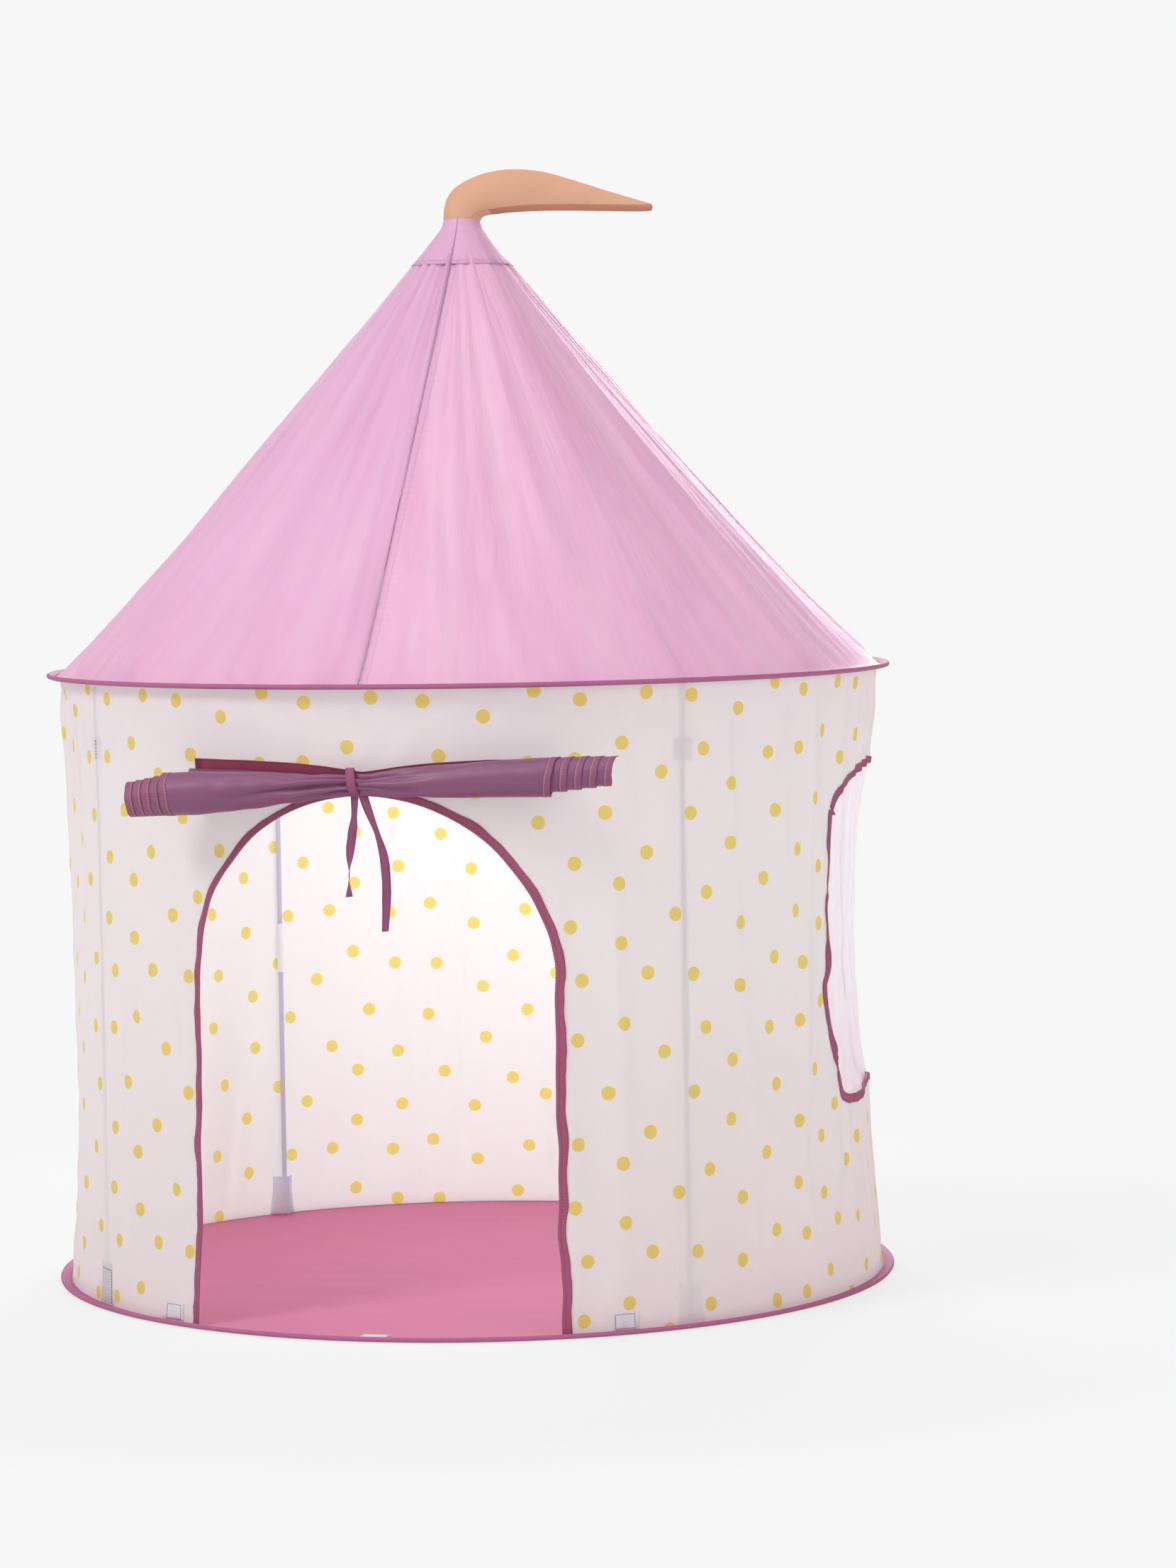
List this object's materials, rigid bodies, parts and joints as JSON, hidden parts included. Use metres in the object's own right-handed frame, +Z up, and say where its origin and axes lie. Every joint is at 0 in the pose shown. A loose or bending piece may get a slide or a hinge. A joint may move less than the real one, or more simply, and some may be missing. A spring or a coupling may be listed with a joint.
{
  "type": "play tent",
  "caption": "Round child's play tent with a peaked roof, a rolled-up arched door, a net window and a small horn-shaped flag on its tip.",
  "frame": {"origin": "centre of the round floor, on its underside, where the tent stands on the ground", "axes": "+Z up through the tip of the roof, -Y out through the door, +X to the right of a person who faces the door"},
  "size_m": [0.9982, 1.0166, 1.304],
  "materials": {
    "wall_polyester": "thin off-white polyester printed with mustard dots",
    "roof_polyester": "thin pink polyester with a slight sheen",
    "floor_polyester": "plain rose polyester",
    "ring_tape": "mauve woven tape",
    "edge_binding": "dark mauve woven tape",
    "door_polyester": "purple polyester with a slight sheen",
    "window_tulle": "fine white netting",
    "pennant_cloth": "plain apricot polyester",
    "pole_glassfibre": "light grey glass-fibre rod",
    "ferrule_plastic": "white moulded plastic",
    "pocket_cloth": "grey-lilac woven cloth",
    "fastener_pad": "pale hook-and-loop tape",
    "ring_steel": "spring steel wire"
  },
  "bodies": {
    "tent": {"base_brim": "ring_tape", "base_hoop": "ring_steel", "eave_brim": "ring_tape", "eave_hoop": "ring_steel", "floor_sheet": "floor_polyester", "floor_pad": "fastener_pad", "wall_cloth": "wall_polyester", "left_wall_pad": "fastener_pad", "right_wall_pad": "fastener_pad", "door_binding": "edge_binding", "header_tape": "edge_binding", "window_binding": "edge_binding", "window_mesh": "window_tulle", "left_roof_panel": "roof_polyester", "right_roof_panel": "roof_polyester", "roof_cap": "roof_polyester", "apex_hub": "ferrule_plastic", "front_left_foot_pocket": "pocket_cloth", "front_left_pole_loop": "pocket_cloth", "front_left_lower_wall_pole": "pole_glassfibre", "front_left_wall_ferrule": "ferrule_plastic", "front_left_upper_wall_pole": "pole_glassfibre", "front_left_eave_elbow": "ferrule_plastic", "front_left_lower_roof_pole": "pole_glassfibre", "front_left_roof_ferrule": "ferrule_plastic", "front_left_upper_roof_pole": "pole_glassfibre", "front_right_foot_pocket": "pocket_cloth", "front_right_pole_loop": "pocket_cloth", "front_right_lower_wall_pole": "pole_glassfibre", "front_right_wall_ferrule": "ferrule_plastic", "front_right_upper_wall_pole": "pole_glassfibre", "front_right_eave_elbow": "ferrule_plastic", "front_right_lower_roof_pole": "pole_glassfibre", "front_right_roof_ferrule": "ferrule_plastic", "front_right_upper_roof_pole": "pole_glassfibre", "back_left_foot_pocket": "pocket_cloth", "back_left_pole_loop": "pocket_cloth", "back_left_lower_wall_pole": "pole_glassfibre", "back_left_wall_ferrule": "ferrule_plastic", "back_left_upper_wall_pole": "pole_glassfibre", "back_left_eave_elbow": "ferrule_plastic", "back_left_lower_roof_pole": "pole_glassfibre", "back_left_roof_ferrule": "ferrule_plastic", "back_left_upper_roof_pole": "pole_glassfibre", "back_right_foot_pocket": "pocket_cloth", "back_right_pole_loop": "pocket_cloth", "back_right_lower_wall_pole": "pole_glassfibre", "back_right_wall_ferrule": "ferrule_plastic", "back_right_upper_wall_pole": "pole_glassfibre", "back_right_eave_elbow": "ferrule_plastic", "back_right_lower_roof_pole": "pole_glassfibre", "back_right_roof_ferrule": "ferrule_plastic", "back_right_upper_roof_pole": "pole_glassfibre"},
    "rolled_door": {"door_roll": "door_polyester", "tie_loop": "edge_binding"},
    "short_tail": {"short_tie_tail": "edge_binding"},
    "long_tail": {"long_tie_tail": "edge_binding"},
    "flag": {"pennant": "pennant_cloth"}
  },
  "joints": [
    {"name": "door_roll_swing", "type": "hinge", "parent": "tent", "child": "rolled_door", "pos_m": [0, -0.4754, 0.6365], "axis": [-1, 0, 0], "range_deg": [0, 75]},
    {"name": "short_tail_swing", "type": "hinge", "parent": "rolled_door", "child": "short_tail", "pos_m": [-0.0045, -0.4915, 0.596], "axis": [-1, 0, 0], "range_deg": [-35, 60]},
    {"name": "long_tail_swing", "type": "hinge", "parent": "rolled_door", "child": "long_tail", "pos_m": [0.007, -0.4915, 0.596], "axis": [-1, 0, 0], "range_deg": [-35, 60]},
    {"name": "flag_swivel", "type": "hinge", "parent": "tent", "child": "flag", "pos_m": [0, 0, 1.2435], "axis": [0, 0, 1], "continuous": true}
  ]
}
